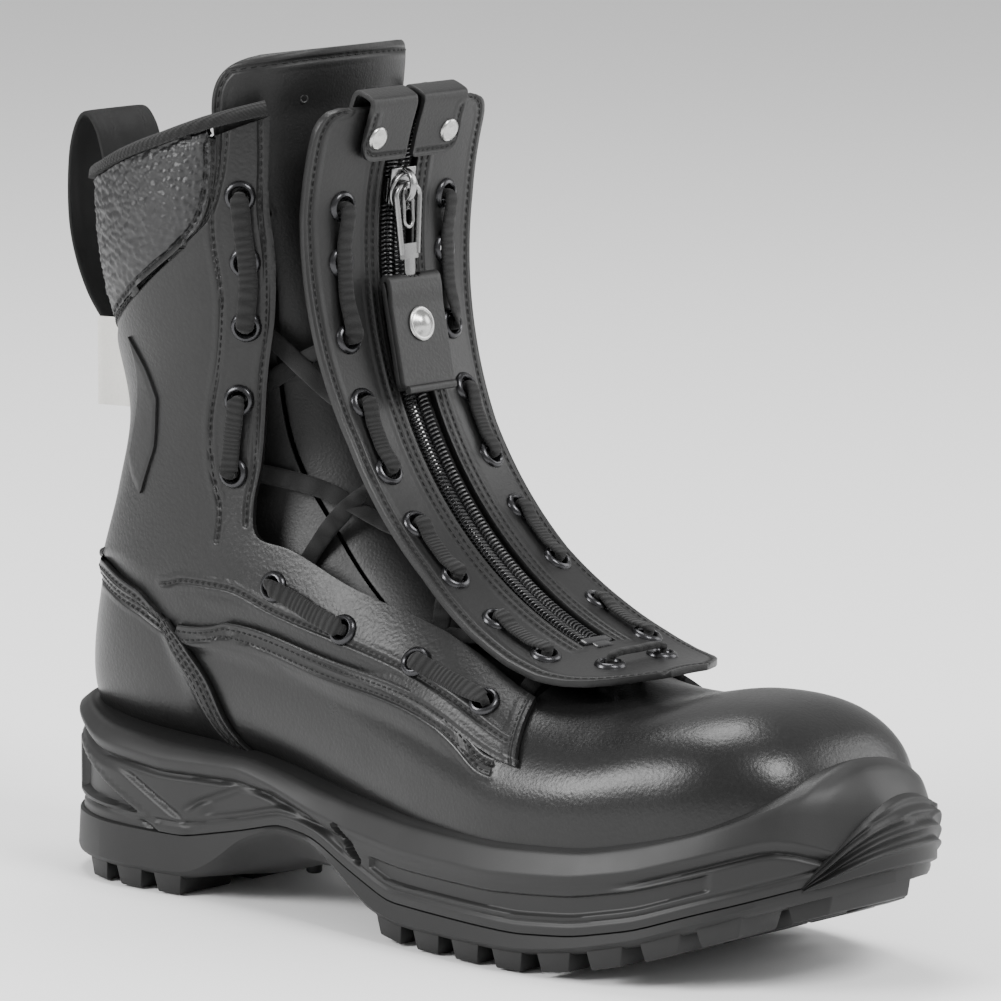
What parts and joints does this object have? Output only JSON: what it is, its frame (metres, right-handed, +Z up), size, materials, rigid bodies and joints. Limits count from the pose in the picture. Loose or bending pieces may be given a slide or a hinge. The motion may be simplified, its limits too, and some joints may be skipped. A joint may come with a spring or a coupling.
{
  "type": "fire boots",
  "caption": "Black leather firefighting boot with a laced-in zip panel, padded collar, pull loop at the back, toe guard and lugged rubber sole.",
  "frame": {"origin": "centre of the bounding box, at the ground", "axes": "+X is the wearer's inner side of this right boot, +Y towards the heel, +Z up; the toe points to -Y"},
  "size_m": [0.1086, 0.3198, 0.2558],
  "materials": {
    "rubber": "moulded, satin",
    "polyurethane": "moulded foam with a satin skin",
    "steel": "nickel, satin",
    "plate": "pressed board",
    "foam": "open-cell foam with a knitted face",
    "cap_shell": "moulded shell",
    "textile": "woven, matt",
    "leather": "waxed full-grain, fine pebble",
    "grain": "tumbled coarse grain",
    "soft_leather": "soft matt leather",
    "tag": "woven tape",
    "coil": "nylon, satin",
    "black_metal": "black lacquer, satin",
    "cord": "braided flat cord"
  },
  "bodies": {
    "boot": {"outsole": "rubber", "midsole": "polyurethane", "toe_guard": "rubber", "shank": "steel", "puncture_plate": "plate", "footbed": "foam", "toe_cap": "cap_shell", "heel_stiffener": "plate", "shaft_padding": "foam", "vamp_lining": "textile", "shaft_lining": "textile", "vamp": "leather", "quarter_outer": "leather", "quarter_inner": "leather", "heel_cover": "leather", "collar_panel": "grain", "collar_binding": "textile", "tongue": "soft_leather", "gusset_outer": "soft_leather", "gusset_inner": "soft_leather", "pull_loop": "textile", "label": "tag", "emblem_outer": "grain", "emblem_inner": "grain", "zip_panel": "leather", "zip_tape_outer": "textile", "zip_tape_inner": "textile", "zip_coil_outer": "coil", "zip_coil_inner": "coil", "zip_stop": "black_metal", "end_tab_outer": "leather", "end_tab_inner": "leather", "tab_rivet_outer": "steel", "tab_rivet_inner": "steel", "eyelets_facing_outer": "black_metal", "eyelets_facing_inner": "black_metal", "eyelets_panel_outer": "black_metal", "eyelets_panel_inner": "black_metal", "lace_outer": "cord", "lace_inner": "cord", "tie_cord": "cord"},
    "zip_slider": {"zip_slider": "steel"},
    "zip_pull": {"zip_pull": "steel"},
    "zip_fob": {"zip_fob": "leather", "fob_stud": "steel"}
  },
  "joints": [
    {"name": "slider_travel", "type": "hinge", "parent": "boot", "child": "zip_slider", "pos_m": [0.00204, -0.08054, 0.198], "axis": [-1, 0, 0], "range_deg": [0, 53]},
    {"name": "pull_swing", "type": "hinge", "parent": "zip_slider", "child": "zip_pull", "pos_m": [0.00204, 0.03181, 0.21479], "axis": [-1, 0, 0], "range_deg": [0, 109]},
    {"name": "fob_swing", "type": "hinge", "parent": "zip_pull", "child": "zip_fob", "pos_m": [0.00204, 0.03061, 0.18679], "axis": [-1, 0, 0], "range_deg": [0, 80]}
  ]
}
